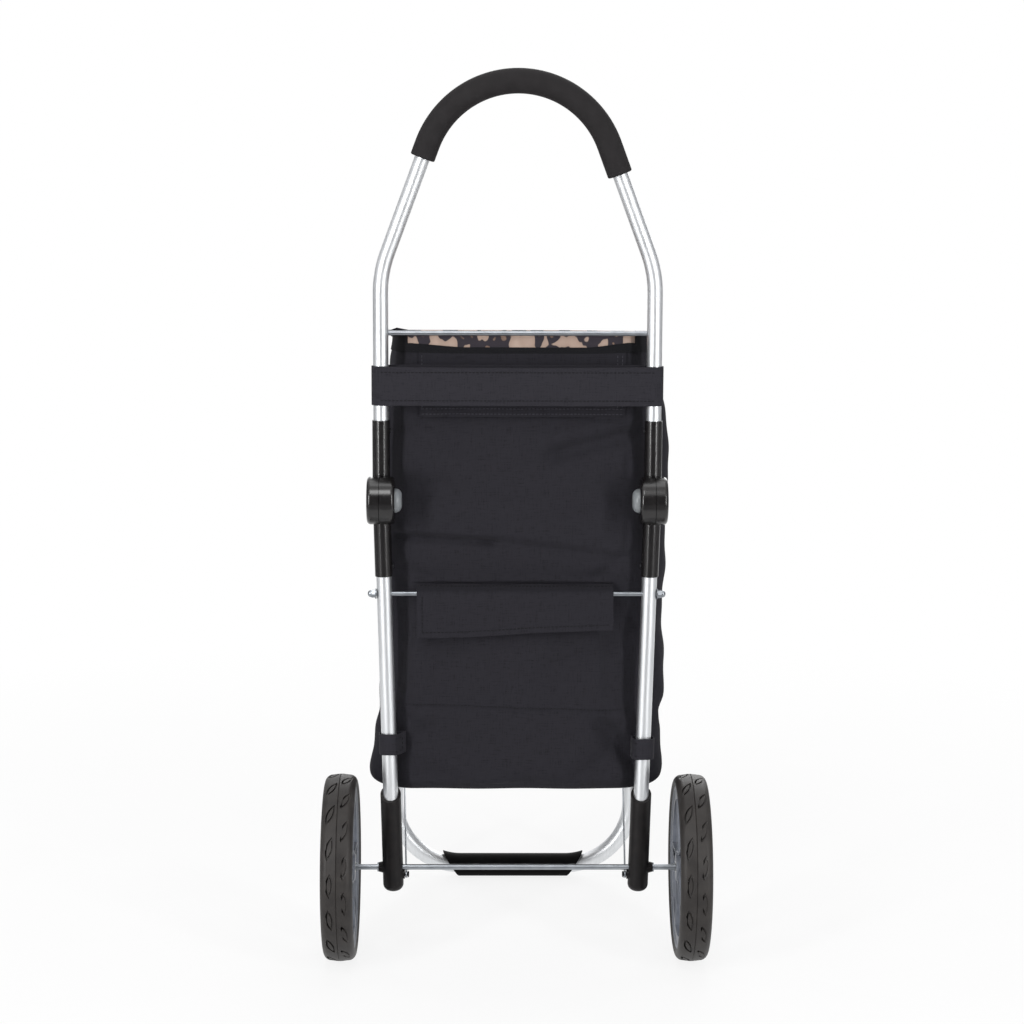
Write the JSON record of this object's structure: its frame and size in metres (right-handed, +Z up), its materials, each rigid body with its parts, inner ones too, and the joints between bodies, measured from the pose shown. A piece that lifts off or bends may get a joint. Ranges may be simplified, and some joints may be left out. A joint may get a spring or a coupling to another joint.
{
  "type": "shopping trolley",
  "caption": "Folding shopping trolley with a tall fabric bag and lid, a looped tube handle with a foam grip, push-button hinges, spoked wheels and a bent tube stand.",
  "frame": {"origin": "on the floor, under the middle of the trolley's bounding box", "axes": "+Z up, +X to the right seen from behind, +Y from the handle side to the front stand"},
  "size_m": [0.41, 0.4, 0.948],
  "materials": {
    "aluminium_tube": "satin",
    "foam": "matte foam",
    "steel": "zinc plated",
    "black_plastic": "satin",
    "grey_plastic": "satin",
    "tyre_rubber": "matte",
    "pad_rubber": "matte",
    "bag_fabric": "woven",
    "lid_fabric": "printed weave",
    "board": "matte"
  },
  "bodies": {
    "frame": {"hinge_lower_left": "black_plastic", "hinge_lower_right": "black_plastic", "hinge_pin_left": "steel", "hinge_pin_right": "steel", "button_spring_left": "steel", "button_spring_right": "steel", "lower_socket_rivets": "steel", "lower_tube_left": "aluminium_tube", "lower_tube_right": "aluminium_tube", "mid_cross_rod": "steel", "rod_washers": "steel", "rod_cap_nuts": "steel", "boot_left": "black_plastic", "boot_right": "black_plastic", "axle": "steel", "axle_retainers": "steel", "axle_cap_left": "black_plastic", "axle_cap_right": "black_plastic", "front_stand": "aluminium_tube", "stand_pad": "pad_rubber", "stand_rivets": "steel", "stay_wire_left": "steel", "stay_wire_right": "steel", "stay_screws": "steel", "stay_rivets": "steel", "bag_body": "bag_fabric", "bag_base_board": "board", "bag_rod_flap": "bag_fabric", "bag_tube_strap_left": "bag_fabric", "bag_tube_strap_right": "bag_fabric"},
    "handle": {"handle_tube": "aluminium_tube", "handle_grip": "foam", "upper_cross_rod": "steel", "hinge_upper_left": "black_plastic", "hinge_upper_right": "black_plastic", "upper_socket_rivets": "steel", "bag_top_strap": "bag_fabric"},
    "left_wheel": {"tyre_left": "tyre_rubber", "wheel_left": "grey_plastic", "wheel_bush_left": "grey_plastic"},
    "right_wheel": {"tyre_right": "tyre_rubber", "wheel_right": "grey_plastic", "wheel_bush_right": "grey_plastic"},
    "left_button": {"hinge_button_left": "grey_plastic"},
    "right_button": {"hinge_button_right": "grey_plastic"},
    "lid": {"bag_lid": "lid_fabric"}
  },
  "joints": [
    {"name": "handle_fold", "type": "hinge", "parent": "frame", "child": "handle", "pos_m": [0, -0.114, 0.502], "axis": [1, 0, 0], "range_deg": [0, 180]},
    {"name": "lid_hinge", "type": "hinge", "parent": "frame", "child": "lid", "pos_m": [0, -0.088, 0.6773], "axis": [1, 0, 0], "range_deg": [0, 85]},
    {"name": "wheel_left_spin", "type": "hinge", "parent": "frame", "child": "left_wheel", "pos_m": [-0.188, -0.1, 0.1], "axis": [1, 0, 0], "continuous": true},
    {"name": "wheel_right_spin", "type": "hinge", "parent": "frame", "child": "right_wheel", "pos_m": [0.188, -0.1, 0.1], "axis": [1, 0, 0], "continuous": true},
    {"name": "button_left_press", "type": "slide", "parent": "frame", "child": "left_button", "axis": [-1, 0, 0], "range_m": [0, 0.004], "stiffness_N_per_m": 500, "deforming": ["button_spring_left"]},
    {"name": "button_right_press", "type": "slide", "parent": "frame", "child": "right_button", "axis": [1, 0, 0], "range_m": [0, 0.004], "stiffness_N_per_m": 500, "deforming": ["button_spring_right"]}
  ]
}
